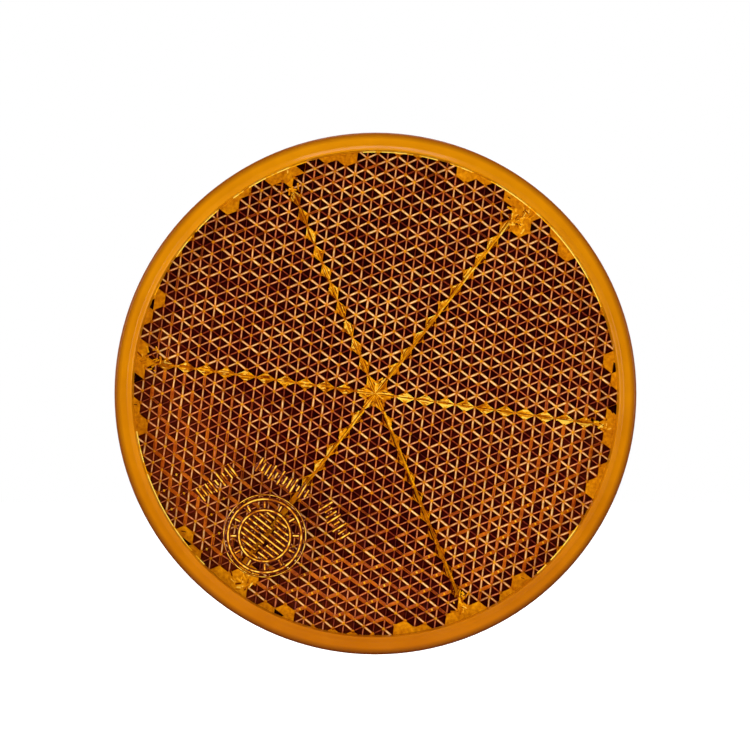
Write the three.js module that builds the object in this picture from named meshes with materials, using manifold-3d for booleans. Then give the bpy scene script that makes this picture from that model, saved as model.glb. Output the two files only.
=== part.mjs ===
// Round amber reflex reflector, 60 mm across, fixed through a panel by a stud at its back.
// Millimetres, +Z up. The optical axis is Y: the lens faces -Y and the stud points to +Y.
// The plane y = 0 is the panel's surface, which the gasket's rear face rests on.
import * as THREE from 'three';
import { mergeVertices } from 'three/addons/utils/BufferGeometryUtils.js';
import Module from 'manifold-3d';

const wasm = await Module();
wasm.setup();

// ---------------------------------------------------------------- driving dimensions

const BODY_RADIUS = 30;          // outside of the lens and of the back plate
const BODY_DEPTH = 8;            // lens face to the back plate's rear face
const GASKET_STAND = 1;          // how far the gasket stands behind the back plate
const REST_GAP = 0.05;           // between two loose pieces that rest on each other
const WELD_GAP = 0.1;            // seam between the lens skirt and the back plate
const ROUND_SEGMENTS = 72;       // facets round the body
const SMALL_SEGMENTS = 32;       // facets round the stud and what sits on it

// Lens
const SHEET_THICKNESS = 1.6;     // clear sheet in front of the prisms
const SKIRT_THICKNESS = 2.05;    // plain band outside the prisms, solid down to the weld
const RIM_DROP = 0.45;           // how far the plain band lies behind the lens face
const SHOULDER_WIDTH = 0.9;      // rounded step from the lens face down to the band
const EDGE_BEVEL = 0.4;

// Prisms: hexagonal cube corners in six sectors
const PRISM_PITCH = 2.32;        // across the flats of a cell, and from cell to cell
const PRISM_REACH = 27.35;       // no cell's centre lies further out than this
const PRISM_LIFT = 0.1;          // the prisms' roots stand this far off the sheet
const SPOKE_TILT = -7.85;        // degrees from +X to the first spoke, anticlockwise from the front
const SECTORS = 6;

// Moulded marks on the lens face: a plain dial and plain bars
const MARK_RAISE = 0.12;
const MARK_WIDTH = 0.35;
const DIAL = { x: -12.7, z: -16.3, radius: 4.2, ticks: 12 };
const BAR_ROWS = [
  { x: -18.2, z: -10.2, turn: 38, lengths: [1.6, 1.6, 0.8, 1.6] },
  { x: -10.6, z: -9.8, turn: -32, lengths: [1.6, 0.8, 1.6, 1.6, 0.8] },
  { x: -4.6, z: -14.6, turn: -58, lengths: [0.8, 1.6, 1.6] },
];
const BAR_SPACING = 1.15;

// Back plate
const PLATE_THICKNESS = 1.6;
const SPIGOT_HEIGHT = 1.8;       // ring that centres the plate in the skirt
const SPIGOT_THICKNESS = 1.3;
const SPIGOT_CLEARANCE = 0.2;
const BOSS_RADIUS = 9;           // hub round the stud, inside and outside
const BOSS_STAND = 0.6;          // its height over the plate's rear face
const SEAM_STEP = 0.35;          // shallow step round the plate's rear edge
const SEAM_STEP_WIDTH = 1.5;

// Stud, M5, with a low hexagon head held in the back plate
const STUD_RADIUS = 2.5;
const STUD_END = 16;
const STUD_CHAMFER = 0.6;
const HEAD_FLATS = 8;
const HEAD_THICKNESS = 1.8;
const HEAD_SEAT_DEPTH = 2.2;     // head's underside to the plate's rear face
const HEAD_CLEARANCE = 0.15;
const HOLE_RADIUS = 2.75;        // clearance hole for M5

// O-ring under the head
const SEAL_SECTION = 0.9;
const SEAL_INNER_RADIUS = 2.6;
const SEAL_POCKET_DEPTH = 1;

// Foam gasket
const GASKET_OUTER_RADIUS = 20;
const GASKET_INNER_RADIUS = 9.3;

// Fastening: flat washer, and a nut that carries its own free-turning washer
const FLAT_WASHER_RADIUS = 7.5;
const FLAT_WASHER_THICKNESS = 1.2;
const CONE_WASHER_RADIUS = 5.75;
const CONE_WASHER_THICKNESS = 0.9;
const CONE_WASHER_RISE = 0.45;   // dish of the washer, open towards the panel
const CONE_WASHER_HOLE = 3.95;
const NUT_FLATS = 8;
const NUT_HEIGHT = 4;
const NUT_COLLAR_RADIUS = 3.65;  // spins in the washer's hole
const NUT_LIP_RADIUS = 4.3;      // swaged lip that keeps the washer on
const NUT_LIP_THICKNESS = 0.35;
const NUT_CLEARANCE = 0.1;       // between the nut and its washer
const NUT_BORE_RADIUS = 2.8;     // clears the stud, for the thread between them

// ---------------------------------------------------------------- planes worked out from them

const PLATE_REAR_Y = -GASKET_STAND;
const PLATE_INNER_Y = PLATE_REAR_Y - PLATE_THICKNESS;
const FACE_Y = PLATE_REAR_Y - BODY_DEPTH;
const SHEET_BACK_Y = FACE_Y + SHEET_THICKNESS;
const PRISM_ROOT_Y = SHEET_BACK_Y + PRISM_LIFT;
const FIELD_RADIUS = BODY_RADIUS - SKIRT_THICKNESS;
const HEAD_SEAT_Y = PLATE_REAR_Y - HEAD_SEAT_DEPTH;
const HEAD_TOP_Y = HEAD_SEAT_Y - HEAD_THICKNESS;
const BOSS_REAR_Y = PLATE_REAR_Y + BOSS_STAND;
const FLAT_WASHER_Y = BOSS_REAR_Y + REST_GAP;
const CONE_WASHER_Y = FLAT_WASHER_Y + FLAT_WASHER_THICKNESS + REST_GAP;
const CONE_WASHER_BACK_Y = CONE_WASHER_Y + CONE_WASHER_RISE + CONE_WASHER_THICKNESS;
const NUT_Y = CONE_WASHER_BACK_Y + NUT_CLEARANCE;

const CELL_RADIUS = PRISM_PITCH / Math.sqrt(3);  // centre of a cell to its corner
const CUBE_STEP = PRISM_PITCH / Math.sqrt(6);    // depth between a cube's neighbouring corners

const radians = THREE.MathUtils.degToRad;

// ---------------------------------------------------------------- shape helpers

/** A turned solid about the Y axis. The profile's [radius, y] points go round it anticlockwise. */
function turned(profile, segments = SMALL_SEGMENTS) {
  return new THREE.LatheGeometry(profile.map(([r, y]) => new THREE.Vector2(r, y)), segments);
}

/** A flat ring, or a tube, between two radii and two planes. */
function ring(inner, outer, y0, y1, segments = SMALL_SEGMENTS) {
  return turned([[inner, y0], [outer, y0], [outer, y1], [inner, y1], [inner, y0]], segments);
}

/** A plain disc or rod on the Y axis. */
function rod(radius, y0, y1, segments = SMALL_SEGMENTS) {
  return turned([[0, y0], [radius, y0], [radius, y1], [0, y1]], segments);
}

/** A hexagonal bar on the Y axis, measured across its flats. */
function hexagonBar(flats, y0, y1) {
  const bar = new THREE.CylinderGeometry(flats / Math.sqrt(3), flats / Math.sqrt(3), y1 - y0, 6);
  return bar.translate(0, (y0 + y1) / 2, 0);
}

/** Points of a quarter round from [r0, y0] to [r1, y1], level at its start. */
function shoulder([r0, y0], [r1, y1], steps) {
  return Array.from({ length: steps + 1 }, (_, i) => {
    const turn = (Math.PI / 2) * (i / steps);
    return [r0 + (r1 - r0) * Math.sin(turn), y0 + (y1 - y0) * (1 - Math.cos(turn))];
  });
}

/** The closed solid of a geometry, for joining and cutting. */
function solid(geometry) {
  const bare = new THREE.BufferGeometry();
  bare.setAttribute('position', geometry.getAttribute('position'));
  bare.setIndex(geometry.getIndex());
  const merged = mergeVertices(bare, 1e-5);
  const mesh = new wasm.Mesh({
    numProp: 3,
    vertProperties: new Float32Array(merged.getAttribute('position').array),
    triVerts: new Uint32Array(merged.getIndex().array),
  });
  return new wasm.Manifold(mesh);
}

/** The geometry of a solid. */
function geometryOf(manifold) {
  const mesh = manifold.getMesh();
  const geometry = new THREE.BufferGeometry();
  geometry.setAttribute('position', new THREE.BufferAttribute(mesh.vertProperties, 3));
  geometry.setIndex(new THREE.BufferAttribute(mesh.triVerts, 1));
  const faceted = geometry.toNonIndexed();
  faceted.computeVertexNormals();
  return faceted;
}

// ---------------------------------------------------------------- prisms

/** A point of the prism field, on a lens plane seen from the front, `depth` behind the roots. */
function fieldPoint(x, z, depth) {
  return new THREE.Vector3(x, PRISM_ROOT_Y + depth, z);
}

/** Turns a point given along and across a spoke into lens coordinates. */
function alongSpoke(along, across, depth, spokeAngle) {
  const x = along * Math.cos(spokeAngle) - across * Math.sin(spokeAngle);
  const z = along * Math.sin(spokeAngle) + across * Math.cos(spokeAngle);
  return fieldPoint(x, z, depth);
}

/** One cube corner: six triangles round its tip, with corners one step and two steps below it. */
function cubeCorner(along, across, spokeAngle) {
  const tip = alongSpoke(along, across, 2 * CUBE_STEP, spokeAngle);
  const corners = Array.from({ length: 6 }, (_, i) => {
    const turn = radians(60 * i - 90);
    const depth = i % 2 === 0 ? CUBE_STEP : 0;
    const [u, v] = [along + CELL_RADIUS * Math.cos(turn), across + CELL_RADIUS * Math.sin(turn)];
    return alongSpoke(u, v, depth, spokeAngle);
  });
  return corners.map((corner, i) => [tip, corners[(i + 1) % 6], corner]);
}

/** The cube corners of the sector that starts at a spoke, row by row from the centre. */
function sectorCells(spokeAngle) {
  const rowHeight = PRISM_PITCH * Math.sin(Math.PI / 3);
  const cells = [];
  for (let row = 0; row * PRISM_PITCH < BODY_RADIUS; row++) {
    for (let place = 0; place * PRISM_PITCH < BODY_RADIUS; place++) {
      const along = (place + 1 + row / 2) * PRISM_PITCH;
      const across = CELL_RADIUS + row * rowHeight;
      if (Math.hypot(along, across) < PRISM_REACH) {
        cells.push(...cubeCorner(along, across, spokeAngle));
      }
    }
  }
  return cells;
}

/** The low pyramids that fill the diamonds between two sectors' cells, along a spoke. */
function spokeBeads(spokeAngle) {
  const beads = [];
  const half = PRISM_PITCH / 2;
  for (let middle = 1.5 * PRISM_PITCH; middle + half < PRISM_REACH; middle += PRISM_PITCH) {
    const top = alongSpoke(middle, 0, 1.3 * CUBE_STEP, spokeAngle);
    const outline = [
      alongSpoke(middle + half, 0, CUBE_STEP, spokeAngle),
      alongSpoke(middle, CELL_RADIUS / 2, 0, spokeAngle),
      alongSpoke(middle - half, 0, CUBE_STEP, spokeAngle),
      alongSpoke(middle, -CELL_RADIUS / 2, 0, spokeAngle),
    ];
    beads.push(...outline.map((corner, i) => [top, outline[(i + 1) % 4], corner]));
  }
  return beads;
}

/** The two facets of the centre star either side of one spoke. */
function starPoint(spokeAngle) {
  const centre = fieldPoint(0, 0, CUBE_STEP);
  const point = alongSpoke(PRISM_PITCH, 0, CUBE_STEP, spokeAngle);
  const [u, v] = [PRISM_PITCH / 2, CELL_RADIUS / 2];
  const notches = [alongSpoke(u, -v, 0, spokeAngle), alongSpoke(u, v, 0, spokeAngle)];
  return [[centre, point, notches[0]], [centre, notches[1], point]];
}

/** The closed solid between a flat plane and triangles that all face +Y behind it. */
function reliefSolid(triangles, planeY) {
  const key = (p) => `${p.x.toFixed(4)},${p.z.toFixed(4)}`;
  const seen = new Map();
  const flat = (p) => new THREE.Vector3(p.x, planeY, p.z);
  for (const triangle of triangles) {
    triangle.forEach((from, i) => {
      const to = triangle[(i + 1) % 3];
      seen.set(`${key(from)}>${key(to)}`, [from, to]);
    });
  }
  const faces = triangles.flatMap(([a, b, c]) => [[a, b, c], [flat(a), flat(c), flat(b)]]);
  for (const [from, to] of seen.values()) {
    if (!seen.has(`${key(to)}>${key(from)}`)) {
      faces.push([from, flat(from), to], [to, flat(from), flat(to)]);
    }
  }
  return solid(new THREE.BufferGeometry().setFromPoints(faces.flat()));
}

function prismField() {
  const triangles = [];
  for (let sector = 0; sector < SECTORS; sector++) {
    const spokeAngle = radians(SPOKE_TILT + (360 / SECTORS) * sector);
    triangles.push(...sectorCells(spokeAngle));
    triangles.push(...spokeBeads(spokeAngle));
    triangles.push(...starPoint(spokeAngle));
  }
  return reliefSolid(triangles, (FACE_Y + SHEET_BACK_Y) / 2);
}

// ---------------------------------------------------------------- moulded marks

/** A raised bar on the lens face, centred at x, z and turned about the optical axis. */
function raisedBar(x, z, length, turn) {
  const height = 2 * MARK_RAISE;
  const bar = new THREE.BoxGeometry(length, height, MARK_WIDTH);
  bar.rotateY(-turn);
  return solid(bar.translate(x, FACE_Y, z));
}

function dialMark() {
  const [inner, outer] = [DIAL.radius - MARK_WIDTH / 2, DIAL.radius + MARK_WIDTH / 2];
  let dial = solid(ring(inner, outer, FACE_Y - MARK_RAISE, FACE_Y + MARK_RAISE, 48));
  dial = dial.translate(DIAL.x, 0, DIAL.z);
  for (let i = 0; i < DIAL.ticks; i++) {
    const turn = (2 * Math.PI * i) / DIAL.ticks;
    const middle = DIAL.radius * 0.78;
    const [x, z] = [DIAL.x + middle * Math.cos(turn), DIAL.z + middle * Math.sin(turn)];
    dial = dial.add(raisedBar(x, z, DIAL.radius * 0.3, turn));
  }
  return dial;
}

function barMarks() {
  const bars = BAR_ROWS.flatMap(({ x, z, turn, lengths }) => {
    const angle = radians(turn);
    return lengths.map((length, i) => {
      const along = (i - (lengths.length - 1) / 2) * BAR_SPACING;
      const place = [x + along * Math.cos(angle), z + along * Math.sin(angle)];
      return raisedBar(...place, length, angle + Math.PI / 2);
    });
  });
  return bars.reduce((joined, bar) => joined.add(bar));
}

// ---------------------------------------------------------------- the pieces

function lens() {
  const skirtEnd = PLATE_INNER_Y - WELD_GAP;
  const rimY = FACE_Y + RIM_DROP;
  const shell = solid(turned([
    [0, FACE_Y],
    ...shoulder([FIELD_RADIUS, FACE_Y], [FIELD_RADIUS + SHOULDER_WIDTH, rimY], 4),
    [BODY_RADIUS - EDGE_BEVEL, rimY],
    [BODY_RADIUS, rimY + EDGE_BEVEL],
    [BODY_RADIUS, skirtEnd],
    [FIELD_RADIUS, skirtEnd],
    [FIELD_RADIUS, SHEET_BACK_Y],
    [0, SHEET_BACK_Y],
  ], ROUND_SEGMENTS));
  return geometryOf(shell.add(prismField()).add(dialMark()).add(barMarks()));
}

function backPlate() {
  const spigotOuter = FIELD_RADIUS - SPIGOT_CLEARANCE;
  const bossInnerY = HEAD_TOP_Y;
  const body = solid(turned([
    [HOLE_RADIUS, bossInnerY],
    [BOSS_RADIUS, bossInnerY],
    [BOSS_RADIUS, PLATE_INNER_Y],
    [spigotOuter - SPIGOT_THICKNESS, PLATE_INNER_Y],
    [spigotOuter - SPIGOT_THICKNESS, PLATE_INNER_Y - SPIGOT_HEIGHT],
    [spigotOuter, PLATE_INNER_Y - SPIGOT_HEIGHT],
    [spigotOuter, PLATE_INNER_Y],
    [BODY_RADIUS, PLATE_INNER_Y],
    [BODY_RADIUS, PLATE_REAR_Y - SEAM_STEP],
    [BODY_RADIUS - SEAM_STEP_WIDTH, PLATE_REAR_Y - SEAM_STEP],
    [BODY_RADIUS - SEAM_STEP_WIDTH, PLATE_REAR_Y],
    [BOSS_RADIUS, PLATE_REAR_Y],
    [BOSS_RADIUS, BOSS_REAR_Y],
    [HOLE_RADIUS, BOSS_REAR_Y],
    [HOLE_RADIUS, bossInnerY],
  ], ROUND_SEGMENTS));
  const seatY = HEAD_SEAT_Y;
  const headPocket = solid(hexagonBar(HEAD_FLATS + 2 * HEAD_CLEARANCE, bossInnerY - 1, seatY));
  const sealRadius = SEAL_INNER_RADIUS + SEAL_SECTION + HEAD_CLEARANCE;
  const sealPocket = solid(rod(sealRadius, seatY - 1, seatY + SEAL_POCKET_DEPTH));
  return geometryOf(body.subtract(headPocket).subtract(sealPocket));
}

function studBolt() {
  const headY = HEAD_SEAT_Y - REST_GAP;
  const head = solid(hexagonBar(HEAD_FLATS, headY - HEAD_THICKNESS + REST_GAP, headY));
  const shank = solid(turned([
    [0, headY - HEAD_THICKNESS / 2],
    [STUD_RADIUS, headY - HEAD_THICKNESS / 2],
    [STUD_RADIUS, STUD_END - STUD_CHAMFER],
    [STUD_RADIUS - STUD_CHAMFER, STUD_END],
    [0, STUD_END],
  ]));
  return geometryOf(head.add(shank));
}

function studSeal() {
  const tube = SEAL_SECTION / 2;
  const seal = new THREE.TorusGeometry(SEAL_INNER_RADIUS + tube, tube, 8, SMALL_SEGMENTS);
  return seal.rotateX(Math.PI / 2).translate(0, HEAD_SEAT_Y + SEAL_POCKET_DEPTH / 2, 0);
}

function panelGasket() {
  const front = PLATE_REAR_Y + REST_GAP;
  return ring(GASKET_INNER_RADIUS, GASKET_OUTER_RADIUS, front, 0, ROUND_SEGMENTS);
}

function flatWasher() {
  const back = FLAT_WASHER_Y + FLAT_WASHER_THICKNESS;
  return ring(HOLE_RADIUS, FLAT_WASHER_RADIUS, FLAT_WASHER_Y, back, SMALL_SEGMENTS);
}

/** The nut's own washer: a shallow cone that is open towards the panel. */
function captiveWasher() {
  return turned([
    [CONE_WASHER_HOLE, CONE_WASHER_Y + CONE_WASHER_RISE],
    [CONE_WASHER_RADIUS, CONE_WASHER_Y],
    [CONE_WASHER_RADIUS, CONE_WASHER_Y + CONE_WASHER_THICKNESS],
    [CONE_WASHER_HOLE, CONE_WASHER_BACK_Y],
    [CONE_WASHER_HOLE, CONE_WASHER_Y + CONE_WASHER_RISE],
  ]);
}

/** A chamfered hexagon, with a collar through the washer and a swaged lip in front of it. */
function hexNut() {
  const nutBack = NUT_Y + NUT_HEIGHT;
  const flatRadius = NUT_FLATS / 2;
  const cornerRadius = NUT_FLATS / Math.sqrt(3);
  const chamfer = (cornerRadius - flatRadius) * Math.tan(radians(30));
  const chamferedEnd = solid(turned([
    [0, NUT_Y],
    [cornerRadius + 1, NUT_Y],
    [cornerRadius + 1, nutBack - chamfer - Math.tan(radians(30))],
    [flatRadius, nutBack],
    [0, nutBack],
  ]));
  const lipBackY = CONE_WASHER_Y + CONE_WASHER_RISE - NUT_CLEARANCE;
  const collar = solid(turned([
    [0, lipBackY - NUT_LIP_THICKNESS],
    [NUT_LIP_RADIUS, lipBackY - NUT_LIP_THICKNESS],
    [NUT_COLLAR_RADIUS, lipBackY],
    [NUT_COLLAR_RADIUS, NUT_Y + 1],
    [0, NUT_Y + 1],
  ]));
  const bore = solid(rod(NUT_BORE_RADIUS, CONE_WASHER_Y - 1, nutBack + 1));
  const hexagon = solid(hexagonBar(NUT_FLATS, NUT_Y, nutBack)).intersect(chamferedEnd);
  return geometryOf(hexagon.add(collar).subtract(bore));
}

// ---------------------------------------------------------------- materials and assembly

const FINISHES = {
  amberAcrylic: { color: 0xd98808, roughness: 0.12, metalness: 0 },
  amberAbs: { color: 0xc97a10, roughness: 0.45, metalness: 0 },
  zincSteel: { color: 0xb9bcbe, roughness: 0.35, metalness: 1 },
  blackRubber: { color: 0x1a1a1a, roughness: 0.8, metalness: 0 },
  greyFoam: { color: 0x2c2d2f, roughness: 0.95, metalness: 0 },
};

const PIECES = {
  lens: [lens, 'amberAcrylic'],
  back_plate: [backPlate, 'amberAbs'],
  stud_bolt: [studBolt, 'zincSteel'],
  stud_seal: [studSeal, 'blackRubber'],
  panel_gasket: [panelGasket, 'greyFoam'],
  flat_washer: [flatWasher, 'zincSteel'],
  captive_washer: [captiveWasher, 'zincSteel'],
  hex_nut: [hexNut, 'zincSteel'],
};

const reflector = new THREE.Group();
for (const [name, [makeGeometry, finish]] of Object.entries(PIECES)) {
  const mesh = new THREE.Mesh(makeGeometry(), new THREE.MeshStandardMaterial(FINISHES[finish]));
  mesh.name = name;
  reflector.add(mesh);
}

export default reflector;
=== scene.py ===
# Looks of a round amber reflex reflector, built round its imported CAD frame.
# Metres, +Z up. The optical axis is Y: the lens faces -Y and the stud points to +Y.
import math
import random

import bmesh
import bpy
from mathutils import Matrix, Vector, noise


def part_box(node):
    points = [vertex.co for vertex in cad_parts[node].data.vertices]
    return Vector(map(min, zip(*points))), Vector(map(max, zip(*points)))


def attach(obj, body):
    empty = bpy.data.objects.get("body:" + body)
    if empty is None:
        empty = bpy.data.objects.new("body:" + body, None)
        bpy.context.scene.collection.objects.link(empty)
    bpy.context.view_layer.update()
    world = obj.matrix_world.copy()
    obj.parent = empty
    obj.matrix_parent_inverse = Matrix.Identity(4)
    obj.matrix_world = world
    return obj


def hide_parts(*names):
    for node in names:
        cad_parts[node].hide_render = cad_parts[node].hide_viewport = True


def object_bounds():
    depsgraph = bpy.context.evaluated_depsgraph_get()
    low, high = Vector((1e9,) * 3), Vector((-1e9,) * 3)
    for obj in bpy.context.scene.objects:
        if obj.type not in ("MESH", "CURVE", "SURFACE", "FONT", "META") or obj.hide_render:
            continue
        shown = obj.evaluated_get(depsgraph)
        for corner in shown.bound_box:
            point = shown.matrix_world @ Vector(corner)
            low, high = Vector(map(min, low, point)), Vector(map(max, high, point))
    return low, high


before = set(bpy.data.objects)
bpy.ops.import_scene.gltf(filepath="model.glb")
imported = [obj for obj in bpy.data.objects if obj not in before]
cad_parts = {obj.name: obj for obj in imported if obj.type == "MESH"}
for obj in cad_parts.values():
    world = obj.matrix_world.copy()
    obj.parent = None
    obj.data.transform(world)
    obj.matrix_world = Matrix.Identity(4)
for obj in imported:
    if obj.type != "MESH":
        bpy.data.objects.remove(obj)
cad_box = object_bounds()
chance = random.Random(7)

# -------- driving dimensions

MM = 0.001
lens_low, lens_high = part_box("lens")
plate_low, plate_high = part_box("back_plate")
stud_low, stud_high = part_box("stud_bolt")
gasket_low, gasket_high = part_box("panel_gasket")
flat_low, flat_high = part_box("flat_washer")
cone_low, cone_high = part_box("captive_washer")
nut_low, nut_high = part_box("hex_nut")

NO_AREA = 1e-12               # a triangle whose sides' cross product is shorter is left out
ROUND_SEGMENTS = 144          # round the body
SMALL_SEGMENTS = 72           # round the stud, the washers and the nut

# Lens: a clear front sheet, an amber band round it, and a skirt down to the back plate
BODY_RADIUS = lens_high.x
MARK_RAISE = 0.12 * MM
FACE_Y = lens_low.y + MARK_RAISE
SHEET_THICKNESS = 1.6 * MM
FIELD_RADIUS = BODY_RADIUS - 2.05 * MM
RIM_DROP = 0.45 * MM          # the band lies this far behind the lens face
SHOULDER_WIDTH = 0.7 * MM
SHOULDER_STEPS = 12
EDGE_ROUND = 0.4 * MM
FOOT_ROUND = 0.12 * MM
SKIRT_OVERLAP = 2.3 * MM      # how far the skirt reaches past the front of the back plate

# Prisms: hexagonal cube corners in six sectors, whose depth looks shallow through the sheet
PITCH = 2.32 * MM
CELL_RADIUS = PITCH / math.sqrt(3)
ROW_HEIGHT = PITCH * math.sqrt(3) / 2
PRISM_REACH = 27.35 * MM      # no cell's centre lies further out than this
SECTORS = 6
SPOKE_TILT = math.radians(-7.85)
RELIEF_STEP = 0.35 * MM       # apparent depth between a cube's neighbouring corners
RELIEF_Y = FACE_Y + SHEET_THICKNESS + 0.1 * MM
RELIEF_BACK_Y = RELIEF_Y + 2 * RELIEF_STEP + 0.4 * MM
HIDDEN_RADIUS = FIELD_RADIUS + 0.6 * MM   # the relief ends inside the band's wall
WALL_SLOPE = 0.12 * MM        # the band's inner wall leans in by this much

# The tone of the darkest facets, and how much painted light is added in the lower half, and far out on the
# lower left and on the right
FACET_TONE = 0.14
LOWER_GAIN = 0.2
LEFT_FOOT_GAIN = 0.62
RIGHT_GAIN = 0.26

# Lines along the prisms' edges, painted bright as painted highlights
SPOKE_LINE_WIDTH = 0.25 * MM
BORDER_LINE_WIDTH = 0.23 * MM
LINE_LIFT = 0.07 * MM         # a line's crest stands this far over the prism's edge
LINE_SINK = 0.05 * MM         # its foot lies this far under it
VALLEY_LIFT = 0.15 * MM       # a line in a valley stands higher,
VALLEY_SINK = -0.06 * MM      # foot and all, so that the facets beside it don't hide it
# How pale a line's painted highlight is along its crest, a spoke line's from its cube's tip outwards
SPOKE_GLOW = (0.46, 0.86, 0.96, 0.82, 0.46)
BORDER_GLOW = (0.42, 0.85, 0.85, 0.42)
# How bright the lines at 22, 82 and 142 degrees are painted in each sector, from 0 to 1, as painted light
SPOKE_TONES = [
    (0.74, 0.52, 0.95),
    (0.80, 0.62, 0.86),
    (0.70, 0.55, 0.80),
    (0.50, 0.70, 0.62),
    (0.44, 0.44, 0.88),
    (0.60, 0.74, 0.80),
]
BORDER_TONES = [
    (0.38, 0.31, 0.43),
    (0.36, 0.20, 0.34),
    (0.34, 0.24, 0.34),
    (0.34, 0.34, 0.39),
    (0.42, 0.22, 0.36),
    (0.41, 0.38, 0.26),
]
TONE_DRIFT = 0.12             # how far a line's tone drifts across the lens,
DRIFT_SIZE = 4 * MM           # over patches of this size,
TONE_SCATTER = 0.19           # and how far it strays from one line to the next
RIM_REACH = 0.88              # share of the field's radius past which its open edge has a brown line

# Orange flanks beside the borders, low down and far out
FLANK_WIDTH = 0.42 * MM
FLANK_TONE = 0.72
FLANK_START = 0.04            # broadness from which a flank shows
FLANK_SPAN = 0.4              # how much more than that shows all of it
FLANK_ALONE = 0.75            # share of the whole flank that leaves no line beside it

# Nodes where the lines meet: at a cube's tip, at a cell's corner and halfway along a border
NODE_RADIUS = 0.22 * MM
LINE_INSET = 0.6 * NODE_RADIUS   # how far a line stops short of the middle of a node
TIP_NODE = {"size": 1.1, "lift": 0.16 * MM}
TIP_TONES = (0.56, 0.84)
CORNER_NODE = {"size": 0.92, "lift": 0.1 * MM}
CORNER_TONES = (0.4, 0.58)
SIDE_NODE = {"size": 0.7, "lift": 0.6 * LINE_LIFT}
SIDE_NODE_TONE = 0.84
SIDE_NODE_TOP = -8 * MM       # side nodes lie below this height,
SIDE_NODE_REACH = 0.7         # and further out than this share of the field's radius
SIDE_NODE_CHANCE = 0.7

# Beads along each spoke, painted lit on one side and shaded on the other: the tones of their two sides,
# anticlockwise side first, and of the crease between them
BEAD_TONES = [(0.74, 0.92), (0.58, 0.20), (0.56, 0.60), (0.60, 0.62), (0.24, 0.58), (0.50, 0.38)]
CREASE_TONES = [0.25, 0.75, 0.60, 0.45, 0.50, 0.60]
BEAD_SLANT = 0.14             # how much paler a bead's outer half is, and darker its inner half, as painted light
BEAD_FADES = {5: 0.32}        # how much tone a spoke's beads lose on the way out to the band
# The painted highlight beside the beads of a spoke, a bright line: the spoke and the side, 1 for
# anticlockwise
SIDE_LINES = {1: -1, 4: 1, 5: 1}
SIDE_LINE_SHIFT = 0.17 * MM
# The spoke whose outer beads are worn to a smooth strip in the mould, and where that starts
WORN_SPOKE = 4
WORN_FROM = 6 * PITCH
WORN_TONES = (0.0, 0.05)      # of what is left of those beads
WORN_WIDTH = 0.6 * MM
WORN_SHIFT = 0.05 * MM
# Fine streaks on the beads and the star, as low as the crumbs and slivers round the field
STREAK_WIDTH = 0.15 * MM
STREAK_LIFT = 0.03 * MM
STREAKS_PER_BEAD = 6
STAR_TONE = 0.56
STAR_GLEAM = 0.2              # how much paler the point that lies to the right is painted, as a painted highlight

# Where the field meets the band
FLAT_TONE = 0.62              # of the plain amber in place of the outermost cells
CHIP_CHANCE = 0.35            # of a dark sliver in such a cell
FRAGMENT_CHANCE = 0.1         # of a dark fragment at the side of such a cell
# The cell that is crushed beside the end of a spoke: the spoke and the side, 1 for anticlockwise
CRUSHED_CELLS = {1: -1, 4: 1}
CRUSHED_ALONG = 11 * PITCH
END_CRUMBS = [14, 44, 14, 26, 34, 20]    # how many crumbs each spoke ends in
BAND_LINE_WIDTH = 0.19 * MM
# Stretches where the band's inner edge catches the light: middle and half width in degrees, strength
BRIGHT_ARCS = [(45, 24, 1.0), (88, 10, 0.8), (128, 26, 0.6), (207, 20, 1.0), (322, 16, 0.7)]

# Plain moulding marks low on the left of the face
DIAL = {"x": -12.7 * MM, "z": -16.3 * MM, "radius": 4.2 * MM, "ticks": 12, "hatch": -38}
BAR_ROWS = [
    {"x": -18.2 * MM, "z": -10.2 * MM, "turn": 38, "bars": 9},
    {"x": -10.6 * MM, "z": -9.8 * MM, "turn": -32, "bars": 12},
    {"x": -4.6 * MM, "z": -14.6 * MM, "turn": -58, "bars": 8},
]
BAR_LENGTHS = [1.8 * MM, 1.0 * MM, 1.4 * MM, 1.8 * MM, 0.7 * MM]
BAR_SPACING = 0.58 * MM
HATCH_SPACING = 0.6 * MM
HATCH_GAP = 0.4 * MM
MARK_WIDTH = 0.3 * MM

# M5 stud and nut
STUD_HOLE = 2.75 * MM         # radius of the hole in the back plate and the plain washer
THREAD_PITCH = 0.8 * MM
THREAD_CREST = 0.12           # share of the pitch that is flat crest
THREAD_FLANKS = 0.7           # and that is flanks
HEAD_HEIGHT = 1.75 * MM
NUT_HEIGHT = 4 * MM           # of the nut's hexagon, without its collar
FLATS = 8 * MM                # across the flats of the stud's head and the nut
CHAMFER_RADIUS = 0.97 * FLATS / 2
CHAMFER_SLOPE = math.tan(math.radians(30))

# Camera, floor and lamps
CAMERA_LENS = 150.0           # millimetres, on a 36 mm sensor
CAMERA_SENSOR = 36.0
FRAME_WIDTH = 86.1 * MM       # width of the view at the lens
CAMERA_X = -0.05 * MM         # the view's centre from the lens's
CAMERA_Z = 2.14 * MM
FLOOR_DROP = 30 * MM          # floor below the object's lowest point
FLOOR_HALF = 0.7
FLOOR_SHIFT = 0.45            # of the floor's middle towards +Y
# Name, place, size and power of each lamp
SOFTBOXES = [
    ("left_softbox", (-0.45, -0.32, 0.16), 0.3, 2.0),
    ("right_softbox", (0.5, -0.26, 0.02), 0.3, 1.7),
    ("top_softbox", (0, 0.05, 0.6), 0.4, 3.0),
    ("rear_softbox", (0.4, 0.5, 0.35), 0.3, 1.2),
    ("low_rear_softbox", (-0.5, 0.4, 0.0), 0.3, 0.7),
]

# -------- mesh helpers


def circle(radius, y, segments=ROUND_SEGMENTS):
    """A ring of points about the Y axis."""
    turns = [2 * math.pi * i / segments for i in range(segments)]
    return [Vector((radius * math.cos(t), y, radius * math.sin(t))) for t in turns]


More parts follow.
